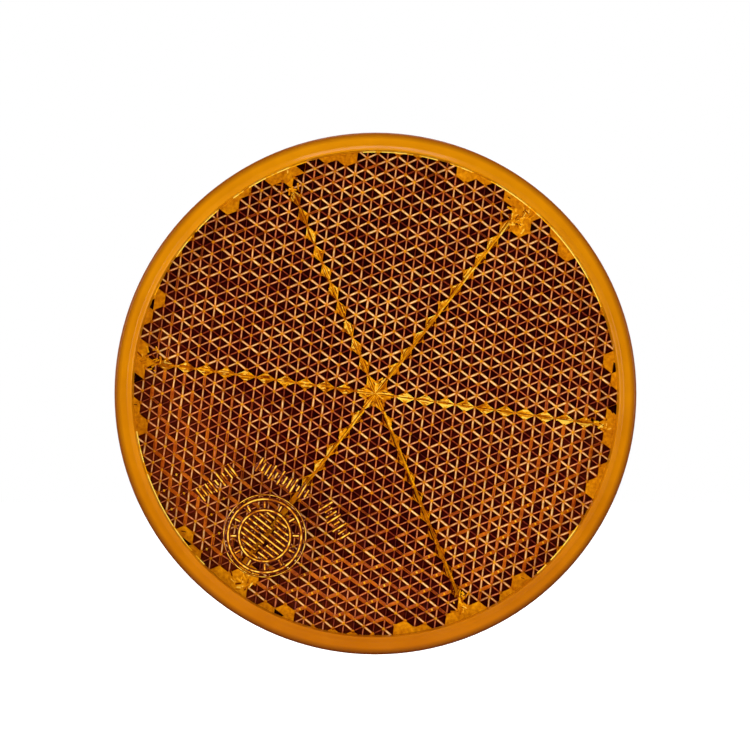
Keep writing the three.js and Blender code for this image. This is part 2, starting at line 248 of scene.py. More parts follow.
def arc(centre, radii, start, end, steps):
    """(radius, y) points of a profile's elliptical arc, its angles in degrees from outwards to +Y."""
    turns = [math.radians(start + (end - start) * i / steps) for i in range(steps + 1)]
    return [(centre[0] + radii[0] * math.cos(t), centre[1] + radii[1] * math.sin(t)) for t in turns]


def around(x, z, radius, turn):
    """The (x, z) place at a distance and an angle from another."""
    return x + radius * math.cos(turn), z + radius * math.sin(turn)


class Shape:
    """A piece's vertices and faces, with a tone for each face and a core for each vertex."""

    def __init__(self):
        self.points = []
        self.cores = []
        self.faces = []
        self.tones = []
        self.known = {}

    def vertex(self, point, core=0.0):
        key = tuple(round(value * 1e8) for value in point)
        if key not in self.known:
            self.known[key] = len(self.points)
            self.points.append(point)
            self.cores.append(core)
        return self.known[key]

    def face(self, indices, tone=0.5):
        self.faces.append(tuple(indices))
        self.tones.append(tone)

    def loft(self, rings, closed=True, tone=0.5):
        """Joins rings of as many points each. A closed loft comes back to its first ring."""
        base = len(self.points)
        count = len(rings[0])
        for ring in rings:
            self.points += ring
            self.cores += [0.0] * count
        for i in range(len(rings) if closed else len(rings) - 1):
            a = base + i * count
            b = base + ((i + 1) % len(rings)) * count
            for j in range(count):
                k = (j + 1) % count
                self.face((a + j, a + k, b + k, b + j), tone)
        if not closed:
            last = base + (len(rings) - 1) * count
            self.face(range(base, base + count), tone)
            self.face(reversed(range(last, last + count)), tone)

    def turned(self, profile, segments=ROUND_SEGMENTS, closed=True, centre=(0, 0)):
        """A profile of (radius, y) points turned about an axis parallel to Y through centre, an (x, z)."""
        shift = Vector((centre[0], 0, centre[1]))
        rings = [circle(radius, y, segments) for radius, y in profile]
        self.loft([[point + shift for point in ring] for ring in rings], closed)

    def relief(self, triangles, back_y, domed=False):
        """The closed solid behind triangles that face -Y, each (three points, tone). A domed
        triangle gets a vertex of core 1 at its middle."""
        edges = {}
        for corners, tone in triangles:
            front = [self.vertex(point) for point in corners]
            back = [self.vertex(Vector((p.x, back_y, p.z))) for p in corners]
            if domed:
                middle = self.vertex(sum(corners, Vector()) / 3, 1.0)
                for i in range(3):
                    self.face((front[i], front[(i + 1) % 3], middle), tone)
            else:
                self.face(front, tone)
            self.face(reversed(back), tone)
            for i in range(3):
                k = (i + 1) % 3
                edges[front[i], front[k]] = (back[i], back[k], tone)
        for (a, b), (back_a, back_b, tone) in edges.items():
            if (b, a) not in edges:
                self.face((b, a, back_a, back_b), tone)

    def ridge(self, start, end, width, tone, glow=(1.0, 1.0), lift=LINE_LIFT, sink=LINE_SINK):
        """A thin bar with a roof-shaped front, from start to end. glow is the core along its crest."""
        along = end - start
        side = Vector((-along.z, 0, along.x)).normalized() * width / 2
        foot = Vector((0, sink, 0))
        top = Vector((0, -lift, 0))
        base = len(self.points)
        last = len(glow) - 1
        for i, core in enumerate(glow):
            here = start + along * i / last
            self.points += [here - side + foot, here + top, here + side + foot]
            self.cores += [0.0, core, 0.0]
        for i in range(last):
            a = base + 3 * i
            for j in range(3):
                k = (j + 1) % 3
                self.face((a + j, a + 3 + j, a + 3 + k, a + k), tone)
        self.face((base, base + 1, base + 2), tone)
        self.face((base + 3 * last + 2, base + 3 * last + 1, base + 3 * last), tone)

    def cap(self, centre, radius, tone):
        """A low six-sided point where lines meet."""
        base = len(self.points)
        self.points += [centre + point for point in circle(radius, LINE_SINK, 6)]
        self.points.append(centre - Vector((0, LINE_LIFT * 1.3, 0)))
        self.cores += [0.0] * 7
        for i in range(6):
            self.face((base + i, base + (i + 1) % 6, base + 6), tone)
        self.face(reversed(range(base, base + 6)), tone)


def add_piece(name, shape, material, node, slot, body="root", smooth=None, outwards=False):
    """Makes a shape a piece that stands for a CAD node. smooth is the angle that stays sharp."""
    mesh = bpy.data.meshes.new(name)
    mesh.from_pydata(shape.points, [], shape.faces)
    mesh.attributes.new("tone", "FLOAT", "FACE").data.foreach_set("value", shape.tones)
    mesh.attributes.new("core", "FLOAT", "POINT").data.foreach_set("value", shape.cores)
    if outwards:
        edited = bmesh.new()
        edited.from_mesh(mesh)
        bmesh.ops.recalc_face_normals(edited, faces=edited.faces)
        edited.to_mesh(mesh)
        edited.free()
    if smooth is not None:
        mesh.shade_smooth()
        mesh.set_sharp_from_angle(angle=math.radians(smooth))
    mesh.materials.append(material)
    piece = bpy.data.objects.new(name, mesh)
    bpy.context.scene.collection.objects.link(piece)
    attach(piece, body)
    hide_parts(node)
    return piece


# -------- material helpers


WHITE = (1, 1, 1, 1)


def srgb(red, green, blue):
    """A linear colour from display values of 0 to 255."""
    shares = [value / 255 for value in (red, green, blue)]
    linear = [s / 12.92 if s <= 0.04045 else ((s + 0.055) / 1.055) ** 2.4 for s in shares]
    return (*linear, 1.0)


class Nodes:
    """A node tree, and short ways to add to it."""

    def __init__(self, tree):
        self.tree = tree

    def node(self, kind, inputs=None, **settings):
        """Adds a node. An input that is a socket is linked, and any other is set."""
        made = self.tree.nodes.new(kind)
        for name, value in settings.items():
            setattr(made, name, value)
        for name, value in (inputs or {}).items():
            if isinstance(value, bpy.types.NodeSocket):
                self.tree.links.new(value, made.inputs[name])
            else:
                made.inputs[name].default_value = value
        return made

    def spread(self, value, low, high, to_low=0.0, to_high=1.0):
        """Maps low..high to to_low..to_high, and holds it there."""
        inputs = {"Value": value, "From Min": low, "From Max": high, "To Min": to_low, "To Max": to_high}
        return self.node("ShaderNodeMapRange", inputs).outputs["Result"]

    def maths(self, operation, a, b):
        return self.node("ShaderNodeMath", {0: a, 1: b}, operation=operation).outputs[0]


class Finish(Nodes):
    """A material and the nodes that make it up."""

    def __init__(self, name, roughness=0.4, ior=1.49, metallic=0.0, specular=0.5):
        self.material = bpy.data.materials.new(name)
        self.material.use_nodes = True
        super().__init__(self.material.node_tree)
        self.shader = self.tree.nodes["Principled BSDF"]
        names = ("Roughness", "IOR", "Metallic", "Specular IOR Level")
        for socket, value in zip(names, (roughness, ior, metallic, specular)):
            self.shader.inputs[socket].default_value = value

    def attribute(self, name):
        return self.node("ShaderNodeAttribute", attribute_name=name).outputs["Fac"]

    def place(self):
        """The point in the object's own space, which is the row frame."""
        return self.node("ShaderNodeTexCoord").outputs["Object"]

    def axis(self, name):
        split = self.node("ShaderNodeSeparateXYZ", {"Vector": self.place()})
        return split.outputs[name]

    def distance_from_axis(self):
        flat = self.node("ShaderNodeVectorMath", {0: self.place(), 1: (1, 0, 1)}, operation="MULTIPLY")
        return self.node("ShaderNodeVectorMath", {0: flat.outputs[0]}, operation="LENGTH").outputs["Value"]

    def speckle(self, size, detail=2.0):
        """Noise whose grains are about size across."""
        inputs = {"Vector": self.place(), "Scale": 1 / size, "Detail": detail}
        return self.node("ShaderNodeTexNoise", inputs).outputs["Fac"]

    def ramp(self, value, stops):
        """Colours between stops, each (position, red, green, blue) in display values of 0 to 255."""
        made = self.node("ShaderNodeValToRGB", {"Fac": value})
        elements = made.color_ramp.elements
        while len(elements) < len(stops):
            elements.new(1.0)
        for element, (position, *colour) in zip(elements, stops):
            element.position = position
            element.color = srgb(*colour)
        return made.outputs["Color"]

    def mixed(self, share, a, b, blend="MIX"):
        inputs = {0: share, 6: a, 7: b}
        return self.node("ShaderNodeMix", inputs, data_type="RGBA", blend_type=blend).outputs[2]

    def dappled(self, body, size, start, dark, end, detail=3, share=1.0):
        """A colour times noise that runs from a dark colour at its start to white at its end."""
        patches = self.ramp(self.speckle(size, detail), [(start, *dark), (end, 255, 255, 255)])
        return self.mixed(share, body, patches, "MULTIPLY")

    def colour(self, socket):
        self.tree.links.new(socket, self.shader.inputs["Base Color"])

    def roughness(self, socket):
        self.tree.links.new(socket, self.shader.inputs["Roughness"])

    def grain(self, size, height, detail=2.0, strength=1.0):
        """Bumps about size across."""
        self.bump(self.speckle(size, detail), height, strength)

    def bump(self, height, distance, strength=1.0):
        inputs = {"Height": height, "Distance": distance, "Strength": strength}
        normal = self.node("ShaderNodeBump", inputs).outputs["Normal"]
        self.tree.links.new(normal, self.shader.inputs["Normal"])


# -------- materials


def clear_sheet():
    """Clear acrylic seen through: its front mirrors a little, and its back lets everything by."""
    finish = Finish("clear_acrylic")
    facing = finish.node("ShaderNodeNewGeometry").outputs["Backfacing"]
    mirror = finish.node("ShaderNodeFresnel", {"IOR": 1.49}).outputs["Fac"]
    share = finish.maths("MULTIPLY", mirror, finish.maths("SUBTRACT", 1.0, facing))
    smears = finish.spread(finish.speckle(6 * MM), 0.3, 0.7, 0.02, 0.07)
    gloss = finish.node("ShaderNodeBsdfGlossy", {"Color": WHITE, "Roughness": smears})
    through = finish.node("ShaderNodeBsdfTransparent", {"Color": WHITE})
    inputs = {0: share, 1: through.outputs[0], 2: gloss.outputs[0]}
    both = finish.node("ShaderNodeMixShader", inputs)
    output = finish.tree.nodes["Material Output"]
    finish.tree.links.new(both.outputs[0], output.inputs["Surface"])
    return finish.material


def amber_band():
    """Amber acrylic, solid down to the back plate, painted lighter towards the top where the light falls,
    and with painted shade round the edge that is darker towards the foot.
    """
    finish = Finish("amber_acrylic", roughness=0.16, specular=0.08)
    height = finish.spread(finish.axis("Z"), -BODY_RADIUS, BODY_RADIUS)
    # Painted light: the body colour is lighter towards the top and darker towards the foot
    body = finish.ramp(height, [(0.0, 178, 98, 3), (0.5, 194, 119, 4), (1.0, 200, 126, 5)])
    body = finish.dappled(body, 5 * MM, 0.35, (243, 238, 225), 0.65)
    # Painted shade round the rounded edge, at the front of the skirt, darker towards the foot
    edge = finish.spread(finish.distance_from_axis(), BODY_RADIUS - 0.8 * MM, BODY_RADIUS - 0.15 * MM)
    front = finish.spread(finish.axis("Y"), FACE_Y + 1.3 * MM, FACE_Y + 2.6 * MM, 1.0, 0.0)
    shade = finish.maths("MULTIPLY", edge, front)
    edge_shade = finish.ramp(height, [(0.1, 92, 40, 3), (0.5, 120, 60, 6), (1.0, 124, 62, 6)])
    finish.colour(finish.mixed(shade, body, edge_shade))
    finish.roughness(finish.spread(finish.speckle(3 * MM), 0.3, 0.7, 0.12, 0.24))
    finish.grain(2.5 * MM, 0.01 * MM, detail=1)
    return finish.material


def prism_facets():
    """Facets that send the light back to where it came from, so they look dark: maroon to brown."""
    finish = Finish("prism_facets", roughness=0.3, specular=0.0)
    edge = finish.ramp(finish.attribute("tone"), [(0.0, 16, 1, 1), (0.45, 40, 2, 2), (1.0, 80, 16, 4)])
    middle = finish.ramp(finish.attribute("tone"), [(0.0, 30, 3, 2), (0.45, 58, 9, 3), (1.0, 108, 42, 8)])
    share = finish.spread(finish.attribute("core"), 0.1, 0.9)
    body = finish.mixed(share, edge, middle)
    finish.colour(finish.dappled(body, 0.4 * MM, 0.3, (170, 150, 150), 0.7))
    finish.grain(0.3 * MM, 0.01 * MM)
    return finish.material


def prism_lines():
    """The prisms' rounded edges, which catch the light: pale along the crest, orange at the foot."""
    finish = Finish("prism_lines", roughness=0.3, specular=0.05)
    crest = finish.ramp(finish.attribute("tone"), [
        (0.0, 88, 24, 20), (0.25, 162, 68, 38), (0.5, 246, 144, 80),
        (0.75, 255, 216, 144), (1.0, 255, 240, 180),
    ])
    foot = finish.ramp(finish.attribute("tone"), [
        (0.0, 40, 3, 2), (0.4, 96, 16, 2), (0.6, 144, 46, 4), (0.8, 208, 106, 14), (1.0, 240, 150, 34),
    ])
    share = finish.spread(finish.attribute("core"), 0.34, 0.72)
    body = finish.mixed(share, foot, crest)
    finish.colour(finish.dappled(body, 0.35 * MM, 0.3, (214, 196, 180), 0.6, detail=2))
    return finish.material


def amber_patches():
    """The plain and crinkled parts of the lens between the prisms, whose tones also carry painted glints
    and painted shade.
    """
    finish = Finish("amber_patches", roughness=0.3, specular=0.0)
    grain = finish.maths("MULTIPLY", finish.maths("SUBTRACT", finish.speckle(0.4 * MM, 3), 0.5), 0.7)
    tone = finish.maths("ADD", finish.attribute("tone"), grain)
    finish.colour(finish.ramp(tone, [
        (0.0, 84, 22, 2), (0.2, 140, 58, 3), (0.45, 186, 102, 4),
        (0.65, 218, 136, 8), (0.85, 246, 172, 14), (1.0, 255, 218, 84),
    ]))
    finish.grain(0.4 * MM, 0.03 * MM)
    return finish.material


def moulded_marks():
    """Raised marks on the lens face, whose edges gather light like gold wire."""
    finish = Finish("moulded_marks", roughness=0.25, specular=0.2)
    patchy = finish.spread(finish.speckle(0.7 * MM, 2), 0.38, 0.58, 0.42, 1.1)
    gleam = finish.maths("MULTIPLY", finish.attribute("core"), patchy)
    finish.colour(finish.ramp(gleam, [
        (0.1, 84, 26, 3), (0.4, 178, 92, 5), (0.65, 240, 166, 24), (0.9, 255, 222, 92),
    ]))
    return finish.material


def amber_abs():
    """Moulded amber ABS with a fine spark-eroded grain, rubbed smoother here and there."""
    finish = Finish("amber_abs", roughness=0.45, ior=1.53, specular=0.3)
    finish.colour(finish.ramp(finish.speckle(7 * MM, 4), [(0.3, 176, 94, 4), (0.7, 190, 108, 8)]))
    finish.roughness(finish.spread(finish.speckle(4 * MM, 3), 0.3, 0.7, 0.38, 0.56))
    finish.grain(0.18 * MM, 0.02 * MM, strength=0.7)
    return finish.material


def zinc_plate():
    """Zinc plating: dull silver with a faint blue and straw bloom, stains and a fine grain."""
    finish = Finish("zinc_plate", metallic=1.0)
    bloom = finish.ramp(finish.speckle(2.2 * MM, 3), [
        (0.3, 204, 208, 216), (0.55, 222, 222, 220), (0.75, 228, 222, 204),
    ])
    finish.colour(finish.dappled(bloom, 0.7 * MM, 0.32, (206, 204, 200), 0.5, detail=4, share=0.6))
    finish.roughness(finish.spread(finish.speckle(0.5 * MM, 3), 0.25, 0.75, 0.26, 0.48))
    finish.grain(0.12 * MM, 0.008 * MM)
    return finish.material


def cell_foam():
    """Closed-cell foam: dark grey, with fine pits that are painted darker at their bottoms as painted
    shade.
    """
    finish = Finish("cell_foam", roughness=0.9, ior=1.45)
    cells = finish.node("ShaderNodeTexVoronoi", {"Vector": finish.place(), "Scale": 1 / (0.26 * MM)})
    depth = cells.outputs["Distance"]
    # The colour follows the pits' depth: painted shade, darker towards their bottoms
    finish.colour(finish.ramp(depth, [(0.05, 34, 35, 37), (0.6, 52, 54, 57), (1.0, 64, 66, 68)]))
    finish.bump(depth, 0.04 * MM)
    return finish.material


def black_rubber():
    finish = Finish("black_rubber", roughness=0.6, ior=1.5)
    finish.colour(finish.ramp(finish.speckle(0.8 * MM, 3), [(0.3, 22, 22, 23), (0.7, 34, 34, 35)]))
    finish.grain(0.15 * MM, 0.01 * MM)
    return finish.material


def white_floor():
    """A matt white floor, lit from inside for the camera alone, and dim in glossy reflections."""
    finish = Finish("white_floor", roughness=0.7)
    finish.shader.inputs["Emission Color"].default_value = WHITE
    path = finish.node("ShaderNodeLightPath")
    glow = finish.maths("MULTIPLY", path.outputs["Is Camera Ray"], 0.5)
    finish.tree.links.new(glow, finish.shader.inputs["Emission Strength"])
    clouds = finish.spread(finish.speckle(40 * MM), 0.3, 0.7, 0.9, 0.93)
    finish.colour(finish.mixed(path.outputs["Is Glossy Ray"], clouds, (0.08, 0.08, 0.08, 1)))
    return finish.material


# -------- prism field


def field_point(along, across, depth, sector):
    """A point of the prism field, given along and across the spoke that starts a sector."""
    turn = SPOKE_TILT + 2 * math.pi * sector / SECTORS
    x = along * math.cos(turn) - across * math.sin(turn)
    z = along * math.sin(turn) + across * math.cos(turn)
    reach = math.hypot(x, z)
    if reach > HIDDEN_RADIUS:
        x, z = x * HIDDEN_RADIUS / reach, z * HIDDEN_RADIUS / reach
    return Vector((x, RELIEF_Y + depth, z))


def hexagon(along, across, sector, raised):
    """The six corners of a cell, in turn a step deep and level with the relief's front."""
    corners = []
    for i in range(6):
        turn = math.radians(60 * i - 90)
        depth = RELIEF_STEP if raised and i % 2 == 0 else 0
        u = along + CELL_RADIUS * math.cos(turn)
        v = across + CELL_RADIUS * math.sin(turn)
        corners.append(field_point(u, v, depth, sector))
    return corners


def lattice():
    """(sector, along, across, distance from the axis) of every cell place inside the band."""
    for sector in range(SECTORS):
        for row in range(14):
            for place in range(14):
                along = (place + 1 + row / 2) * PITCH
                across = CELL_RADIUS + row * ROW_HEIGHT
                distance = math.hypot(along, across)
                if distance < FIELD_RADIUS + CELL_RADIUS:
                    yield sector, along, across, distance


def heading(turn):
    """The direction across the lens at an angle from +X towards +Z."""
    return Vector((math.cos(turn), 0, math.sin(turn)))


def streak(patches, sector, start, end, tone, width=STREAK_WIDTH, lift=STREAK_LIFT):
    """A fine bar between two places of a sector, each (along, across, depth)."""
    patches.ridge(field_point(*start, sector), field_point(*end, sector), width, tone, lift=lift)


def reach_of(point):
    """A point's distance from the axis, as a share of the prism field's radius."""
    return math.hypot(point.x, point.z) / FIELD_RADIUS


def facet_tone(point):
    """Painted light on the facets: darkest in the upper sectors, and browner towards the left and the
    foot.
    """
    reach = reach_of(point)
    angle = math.atan2(point.z, point.x)
    left_foot = max(0.0, math.cos(angle - math.radians(205)))
    right = max(0.0, math.cos(angle - math.radians(5)))
    lower = 0.5 - 0.5 * math.tanh(point.z / (5 * MM))
    tone = FACET_TONE + LOWER_GAIN * lower + reach ** 2 * (LEFT_FOOT_GAIN * left_foot + RIGHT_GAIN * right)
    return tone + chance.uniform(-0.1, 0.1)


def is_crushed(place):
    """Whether a cell's centre is that of one of the crushed cells."""
    for spoke, side in CRUSHED_CELLS.items():
        crushed = field_point(CRUSHED_ALONG, side * CELL_RADIUS, place.y - RELIEF_Y, spoke)
        if (crushed - place).length < 0.1 * MM:
            return True
    return False


def line_direction(start, end):
    """Which way a line runs: 0, 1 or 2 for 22, 82 or 142 degrees."""
    angle = math.degrees(math.atan2(end.z - start.z, end.x - start.x) - SPOKE_TILT)
    return round((angle - 30) / 60) % 3


def line_tone(tones, sector, start, end):
    """A line's painted light, from its direction, its sector and a slow drift across the lens."""
    drift = TONE_DRIFT * noise.noise((start + end) * (0.5 / DRIFT_SIZE))
    scatter = chance.uniform(-TONE_SCATTER, TONE_SCATTER)
    return tones[sector][line_direction(start, end)] + drift + scatter


def broadness(start, end):
    """How much of a border's flank shows: most far out and low, where it runs round the lens."""
    middle = (start + end) / 2
    along = (end - start).normalized()
    across = abs(along.x * middle.z - along.z * middle.x) / FIELD_RADIUS
    upper = 0.5 + 0.5 * math.tanh(middle.z / (6 * MM))
    return across ** 2 * (1 - 0.7 * upper)


def draw_spoke(lines, sector, start, end, valley):
    """The pale line from a cube's tip to one of its corners, along a ridge or a valley."""
    inset = (end - start).normalized() * LINE_INSET
    tone = line_tone(SPOKE_TONES, sector, start, end)
    width = SPOKE_LINE_WIDTH * chance.uniform(0.85, 1.15)
    lift, sink = (VALLEY_LIFT, VALLEY_SINK) if valley else (LINE_LIFT, 0.0)
    lines.ridge(start + inset, end - inset, width, tone, SPOKE_GLOW, lift, sink)


def draw_node(patches, place, node, tone):
    """A low point over a place where lines meet."""
    patches.cap(place - Vector((0, node["lift"], 0)), node["size"] * NODE_RADIUS, tone)


def draw_border(lines, patches, sector, start, end, shared):
    """The line round a cell, over the orange flank that shows beside it low and far out."""
    middle = (start + end) / 2
    reach = reach_of(middle)
    if not shared:
        if reach > RIM_REACH:
            patches.ridge(start, end, 0.5 * BORDER_LINE_WIDTH, 0.25)
        return
    inset = (end - start).normalized() * LINE_INSET
    flank = min(1.0, (broadness(start, end) - FLANK_START) / FLANK_SPAN)
    if flank > 0:
        tone = FLANK_TONE + chance.uniform(-0.06, 0.06)
        width = FLANK_WIDTH * flank ** 0.5
        lines.ridge(start, end, width, tone, (0.0, 0.0), lift=0.6 * LINE_LIFT)
    if flank < FLANK_ALONE:
        tone = line_tone(BORDER_TONES, sector, start, end)
        width = BORDER_LINE_WIDTH * chance.uniform(0.85, 1.15)
        lines.ridge(start + inset, end - inset, width, tone, BORDER_GLOW)
    low = middle.z < SIDE_NODE_TOP and reach > SIDE_NODE_REACH
    if low and line_direction(start, end) == 0 and chance.random() < SIDE_NODE_CHANCE:
        draw_node(patches, middle, SIDE_NODE, SIDE_NODE_TONE)


def place_key(point):
    """A point to the nearest micrometre, which neighbouring cells agree on."""
    return tuple(round(value * 1e6) for value in point)


def build_cells(facets, lines, patches):
    """The cube corners: six facets each, painted dark as painted shade, and lines painted bright along
    their edges as painted highlights.
    """
    triangles = []
    borders = {}
    nodes = {}
    for sector, along, across, distance in lattice():
        tip = field_point(along, across, 2 * RELIEF_STEP, sector)
        if distance >= PRISM_REACH or is_crushed(tip):
            continue
        corners = hexagon(along, across, sector, raised=True)
        for i, corner in enumerate(corners):
            following = corners[(i + 1) % 6]
            middle = (tip + corner + following) / 3
            triangles.append(((tip, following, corner), facet_tone(middle)))
            draw_spoke(lines, sector, tip, corner, valley=i % 2 == 0)
            ends = tuple(sorted((place_key(corner), place_key(following))))
            borders.setdefault(ends, []).append((sector, corner, following))
            nodes.setdefault(place_key(corner), corner)
        draw_node(patches, tip, TIP_NODE, chance.uniform(*TIP_TONES))
    for sides in borders.values():
        draw_border(lines, patches, *sides[0], shared=len(sides) > 1)
    for corner in nodes.values():
        draw_node(patches, corner, CORNER_NODE, chance.uniform(*CORNER_TONES))
    facets.relief(triangles, RELIEF_BACK_Y, domed=True)


def chip_off(facets, centre, corners):
    """A dark sliver somewhere in a missing cell."""
    place = (centre + chance.choice(corners)) / 2
    half = heading(chance.uniform(0, math.pi)) * chance.uniform(0.15, 0.45) * MM
    width = chance.uniform(0.15, 0.4) * MM
    facets.ridge(place - half, place + half, width, chance.uniform(0.6, 1.0), lift=STREAK_LIFT)


def build_flats(triangles, fragments, facets):
    """Plain amber where the outermost cells are missing, and dark fragments and chips of those cells."""
    for sector, along, across, distance in lattice():
        centre = field_point(along, across, 0, sector)
        if distance < PRISM_REACH and not is_crushed(centre):
            continue
        corners = hexagon(along, across, sector, raised=False)
        round_the_lens = Vector((-centre.z, 0, centre.x)).normalized()
        tone = FLAT_TONE + chance.uniform(-0.05, 0.05)
        if chance.random() < CHIP_CHANCE:
            chip_off(facets, centre, corners)
        for i, corner in enumerate(corners):
            following = corners[(i + 1) % 6]
            if (following - centre).cross(corner - centre).length < NO_AREA:
                continue
            aside = abs(((corner + following) / 2 - centre).dot(round_the_lens)) / CELL_RADIUS
            beside_prisms = distance < PRISM_REACH + 0.6 * MM and aside > 0.75
            if beside_prisms and chance.random() < FRAGMENT_CHANCE:
                fragments.append(((centre, following, corner), 0.2))
            else:
                triangles.append(((centre, following, corner), tone))


def crinkle(triangles, corners, tone, splits=2):
    """Adds a triangle that is broken into uneven shards."""
    if splits == 0:
        triangles.append((corners, tone + chance.uniform(-0.38, 0.34)))
        return
    weights = [chance.uniform(0.4, 1.6) for _ in corners]
    middle = Vector()
    for weight, corner in zip(weights, corners):
        middle += corner * weight / sum(weights)
    middle.y += chance.uniform(-0.04, 0.04) * MM
    for i in range(3):
        crinkle(triangles, (corners[i], corners[(i + 1) % 3], middle), tone, splits - 1)


def bead_fade(sector, middle):
    """The tone that the bead at a distance from the axis has lost."""
    return BEAD_FADES.get(sector, 0.0) * middle / FIELD_RADIUS


def build_beads(triangles, patches):
    """The low diamonds along each spoke, with creases and glints on each."""
    half = PITCH / 2
    for sector in range(SECTORS):
        middle = 1.5 * PITCH
        while middle - half < HIDDEN_RADIUS:
            worn = sector == WORN_SPOKE and middle > WORN_FROM
            sides = WORN_TONES if worn else BEAD_TONES[sector]
            whole = middle + half < PRISM_REACH
            depth = RELIEF_STEP if whole else 0
            top = field_point(middle, 0, 1.3 * depth, sector)
            outline = [
                field_point(middle + half, 0, depth, sector),
                field_point(middle, CELL_RADIUS / 2, 0, sector),
                field_point(middle - half, 0, depth, sector),
                field_point(middle, -CELL_RADIUS / 2, 0, sector),
            ]
            for i, corner in enumerate(outline):
                following = outline[(i + 1) % 4]
                outer = BEAD_SLANT if i in (0, 3) else -BEAD_SLANT
                tone = sides[0 if i < 2 else 1] + outer + chance.uniform(-0.12, 0.12)
                tone -= bead_fade(sector, middle)
                if (following - top).cross(corner - top).length < NO_AREA:
                    continue
                if whole:
                    crinkle(triangles, (top, following, corner), tone)
                else:
                    triangles.append(((top, following, corner), FLAT_TONE))
            if whole:
                bead_creases(patches, sector, middle)
            middle += PITCH


def bead_creases(patches, sector, middle):
    """The crease along a bead's spine, and the fine streaks beside it, painted as glints and painted
    shade.
    """
    half = PITCH / 2
    fade = bead_fade(sector, middle)
    ends = [(middle + reach, 0, RELIEF_STEP) for reach in (-0.8 * half, 0.8 * half)]
    streak(patches, sector, *ends, CREASE_TONES[sector])
    if sector in SIDE_LINES:
        across = SIDE_LINES[sector] * SIDE_LINE_SHIFT
        ends = [(middle + reach, across, 0.6 * RELIEF_STEP) for reach in (-half, half)]
        streak(patches, sector, *ends, chance.uniform(0.55, 0.95) - fade, 1.3 * STREAK_WIDTH, LINE_LIFT)
    if sector == WORN_SPOKE and middle > WORN_FROM:
        ends = [(middle + reach, WORN_SHIFT, 0) for reach in (-half, half)]
        streak(patches, sector, *ends, chance.uniform(0.42, 0.5), WORN_WIDTH, LINE_LIFT)
        return
    for i in range(STREAKS_PER_BEAD):
        side = 1 if i % 2 else -1
        share = chance.uniform(0.15, 0.8)
        across = side * share * CELL_RADIUS / 2
        reach = half * (1 - share) * chance.uniform(0.5, 0.95)
        depth = (1 - share) * RELIEF_STEP
        shift = chance.uniform(-0.3, 0.3) * half * (1 - share)
        start = (middle + shift - reach, across * 0.8, depth)
        end = (middle + shift + reach, across, depth)
        tone = BEAD_TONES[sector][0 if side > 0 else 1] + chance.choice((-0.4, -0.25, 0.2, 0.35)) - fade
        streak(patches, sector, start, end, tone, STREAK_WIDTH * chance.uniform(0.7, 1.4))


def build_star(triangles, patches):
    """The twelve facets round the centre, which fall to a notch between each two spokes."""
    centre = field_point(0, 0, RELIEF_STEP, 0)
    hub = 0.3 * MM
    for sector in range(SECTORS):
        point = field_point(PITCH, 0, RELIEF_STEP, sector)
        for side in (-1, 1):
            notch = field_point(PITCH / 2, side * CELL_RADIUS / 2, 0, sector)
            ends = (centre, notch, point) if side > 0 else (centre, point, notch)
            tone = STAR_TONE + chance.uniform(-0.16, 0.2) + (STAR_GLEAM if sector == 0 else 0)
            crinkle(triangles, ends, tone)
            start = (hub, side * 0.08 * MM, 0.8 * RELIEF_STEP)
            end = (0.9 * PITCH, side * 0.16 * MM, 0.7 * RELIEF_STEP)
            streak(patches, sector, start, end, chance.uniform(0.6, 0.95))
        ends = [(along, 0, 0.8 * RELIEF_STEP) for along in (hub, 0.95 * PITCH)]
        streak(patches, sector, *ends, chance.uniform(0.15, 0.4))
        for _ in range(5):
            side = chance.choice((-1, 1))
            reach = chance.uniform(0.25, 0.6) * PITCH
            start = (reach, side * chance.uniform(0.3, 0.5) * reach, 0.2 * RELIEF_STEP)
            end = (1.4 * reach, side * 0.3 * reach, 0.3 * RELIEF_STEP)
            streak(patches, sector, start, end, chance.choice((0.15, 0.3, 0.85)))


def build_spoke_ends(patches):
    """Bright and dark crumbs where each spoke meets the band."""
    for sector in range(SECTORS):
        shift = CRUSHED_CELLS.get(sector, 0) * 0.9 * MM
        for i in range(END_CRUMBS[sector]):
            along = FIELD_RADIUS + chance.uniform(-3.2, -0.5) * MM
            across = shift + chance.gauss(0, 0.6) * MM
            start = field_point(along, across, -STREAK_LIFT, sector)
            end = start + heading(chance.uniform(0, math.pi)) * chance.uniform(0.25, 0.8) * MM
            width = chance.uniform(0.12, 0.26) * MM
            tone = 0.15 if i % 5 == 4 else chance.uniform(0.4, 1.0)
            patches.ridge(start, end, width, tone, lift=STREAK_LIFT)


def build_band_line(patches):
    """The corner where the sheet meets the band: thin, broken, and bright where it faces the light."""
    steps = 240
    points = circle(FIELD_RADIUS - 0.1 * MM, RELIEF_Y - 0.35 * MM, steps)
    for i, start in enumerate(points):
        gleam = 0.9 * noise.noise(start * (1 / (1.6 * MM)))
        for middle, half, strength in BRIGHT_ARCS:
            away = (360 * i / steps - middle + 180) % 360 - 180
            gleam += strength * math.exp(-(away / half) ** 2)
        if gleam > 0.5:
            patches.ridge(start, points[(i + 1) % steps], BAND_LINE_WIDTH, min(gleam + 0.25, 1.15))


def build_prisms():
    facets = Shape()
    lines = Shape()
    patches = Shape()
    build_cells(facets, lines, patches)
    amber = []
    fragments = []
    build_flats(amber, fragments, facets)
    build_beads(amber, patches)
    build_star(amber, patches)
    patches.relief(amber, RELIEF_BACK_Y)
    facets.relief(fragments, RELIEF_BACK_Y)
    build_spoke_ends(patches)
    build_band_line(patches)
    add_piece("prism_facets", facets, prism_facets(), "lens", "amber_lens")
    add_piece("prism_lines", lines, prism_lines(), "lens", "amber_lens")
    add_piece("lens_patches", patches, amber_patches(), "lens", "amber_lens")


# -------- lens body and marks


